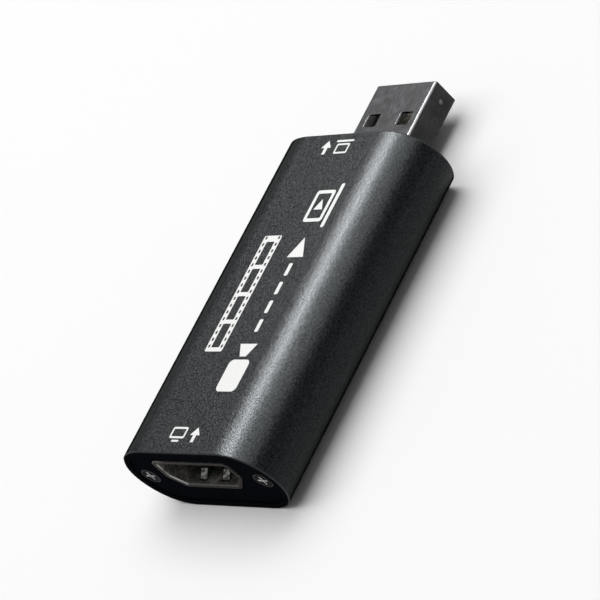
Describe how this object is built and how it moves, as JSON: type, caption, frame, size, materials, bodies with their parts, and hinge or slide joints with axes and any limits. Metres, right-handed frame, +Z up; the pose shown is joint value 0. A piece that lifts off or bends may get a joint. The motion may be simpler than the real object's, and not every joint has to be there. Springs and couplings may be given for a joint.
{
  "type": "video capture box",
  "caption": "Pocket video capture box: flat-oval metal tube with a video socket at one end and a computer plug at the other.",
  "frame": {"origin": "centre of the box with its plug in plan, on its lower flat", "axes": "+Z up, +Y along the length towards the plug, +X across the width"},
  "size_m": [0.0286, 0.0646, 0.0126],
  "materials": {
    "black_anodised": "bead blasted, anodised black",
    "plate_black": "fine matt moulding",
    "black_steel": "blackened, slightly worn",
    "nickel_steel": "nickel plated, fine rolled grain",
    "moulded_black": "moulded, matt",
    "gold_plated": "thin gold plate",
    "board_green": "solder mask over glass fibre",
    "tin": "tinned",
    "chip_resin": "moulded resin",
    "pale_ceramic": "fired, matt",
    "tan_ceramic": "fired, satin",
    "resistor_glaze": "glazed",
    "ferrite": "fired, matt"
  },
  "bodies": {
    "root": {"housing_tube": "black_anodised", "socket_end_plate": "plate_black", "plug_end_plate": "plate_black", "end_plate_screws": "black_steel", "socket_shell": "nickel_steel", "socket_insulator": "moulded_black", "socket_upper_contacts": "gold_plated", "socket_lower_contacts": "gold_plated", "plug_shell": "nickel_steel", "plug_insulator": "moulded_black", "plug_contacts": "gold_plated", "circuit_board": "board_green", "leg_solder": "tin", "capture_chip": "chip_resin", "capture_chip_leads": "tin", "memory_chip": "chip_resin", "memory_chip_leads": "tin", "crystal_base": "pale_ceramic", "crystal_lid": "nickel_steel", "regulator": "chip_resin", "regulator_leads": "tin", "chip_capacitors": "tan_ceramic", "chip_resistors": "resistor_glaze", "supply_bead": "ferrite", "chip_terminals": "tin", "surge_arrays": "chip_resin"}
  },
  "joints": []
}
